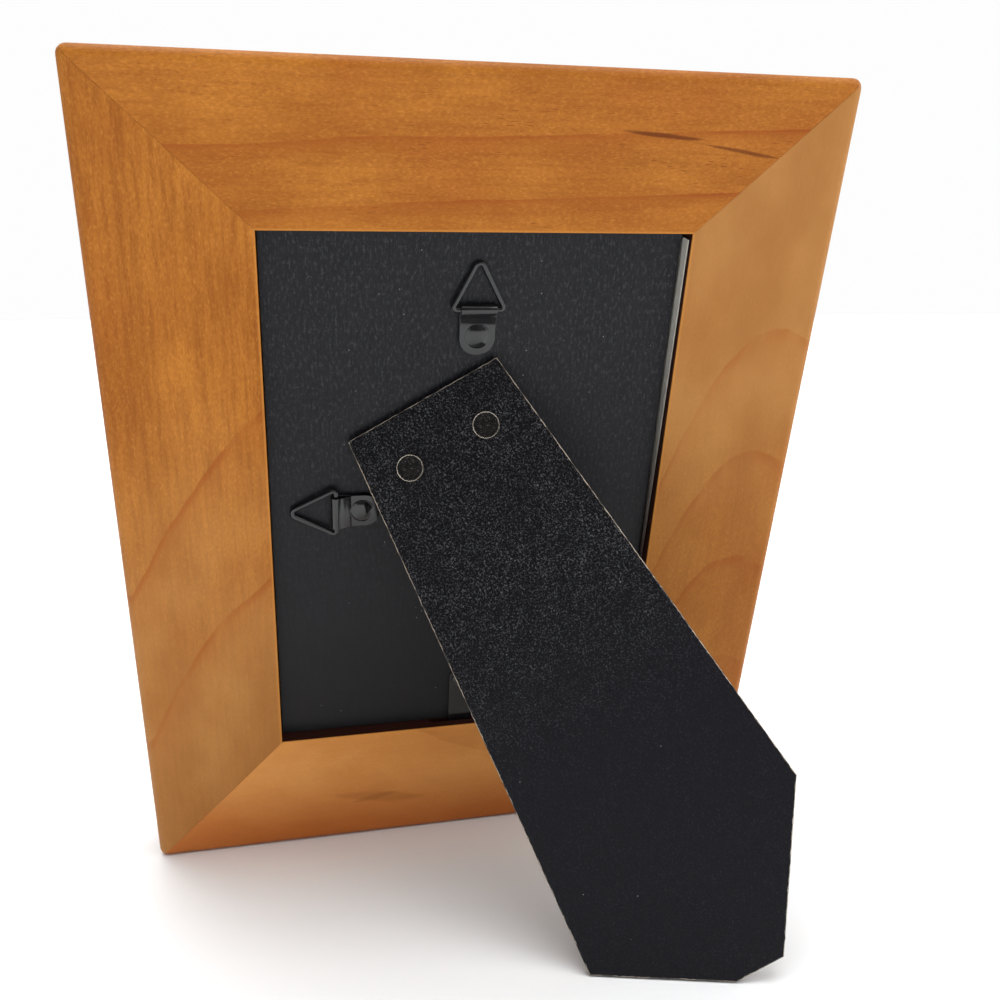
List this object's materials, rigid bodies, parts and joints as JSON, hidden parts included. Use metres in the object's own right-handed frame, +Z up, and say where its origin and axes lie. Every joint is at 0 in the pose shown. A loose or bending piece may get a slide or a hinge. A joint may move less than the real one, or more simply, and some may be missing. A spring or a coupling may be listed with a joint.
{
  "type": "coin display frame",
  "caption": "Stained wooden picture frame for a sheet of coins, with mitred rails, a black back, wire hangers and a folding easel leg.",
  "frame": {"origin": "bottom centre of the standing frame's bounding box, on the surface it stands on", "axes": "+Z up, +Y out of the back towards the leg's foot, +X to the left as seen from behind; the front leans back 16.5 degrees"},
  "size_m": [0.2166, 0.1378, 0.2611],
  "materials": {
    "stained_wood": "satin orange-brown stain, open grain",
    "spline_beech": "raw",
    "glass": "clear",
    "mat_card": "uncoated card",
    "tray_felt": "flocked",
    "filler_card": "grey-white board",
    "black_board": "black fibreboard with a faint linen line",
    "leatherette": "pebbled black covering on fibreboard, raw edges",
    "japanned_steel": "gloss black",
    "rivet_brass": "worn",
    "coin_silver": "struck silver"
  },
  "bodies": {
    "frame": {"rail_top": "stained_wood", "rail_bottom": "stained_wood", "rail_left": "stained_wood", "rail_right": "stained_wood", "corner_spline_1": "spline_beech", "corner_spline_2": "spline_beech", "corner_spline_3": "spline_beech", "corner_spline_4": "spline_beech", "glazing": "glass", "mat": "mat_card", "coin_tray": "tray_felt", "coin_1": "coin_silver", "coin_2": "coin_silver", "coin_3": "coin_silver", "coin_4": "coin_silver", "coin_5": "coin_silver", "coin_6": "coin_silver", "filler_board": "filler_card", "backing_board": "black_board", "hanger_top_strap": "japanned_steel", "hanger_top_rivet": "japanned_steel", "hanger_side_strap": "japanned_steel", "hanger_side_rivet": "japanned_steel", "turn_clip_rivet": "japanned_steel", "hinge_leaf_board": "japanned_steel", "board_rivet_left": "japanned_steel", "board_rivet_right": "japanned_steel", "hinge_pin": "japanned_steel"},
    "leg": {"easel_leg": "leatherette", "hinge_leaf_leg": "japanned_steel", "leg_rivet_left": "rivet_brass", "leg_rivet_right": "rivet_brass"},
    "ring_top": {"hanger_top_ring": "japanned_steel"},
    "ring_side": {"hanger_side_ring": "japanned_steel"},
    "clip": {"turn_clip": "japanned_steel"}
  },
  "joints": [
    {"name": "leg_fold", "type": "hinge", "parent": "frame", "child": "leg", "pos_m": [0.0126, -0.00314, 0.15899], "axis": [-0.8634, 0.1429, 0.4839], "range_deg": [0, 33.3]},
    {"name": "ring_top_swing", "type": "hinge", "parent": "frame", "child": "ring_top", "pos_m": [0, 0.00649, 0.19212], "axis": [-1, 0, 0], "range_deg": [0, 164]},
    {"name": "ring_side_swing", "type": "hinge", "parent": "frame", "child": "ring_side", "pos_m": [0.043, -0.01209, 0.12921], "axis": [0, 0.2832, 0.9591], "range_deg": [0, 164]},
    {"name": "clip_turn", "type": "hinge", "parent": "frame", "child": "clip", "pos_m": [0, -0.03416, 0.0617], "axis": [0, 0.9591, -0.2832], "range_deg": [-90, 90]}
  ]
}
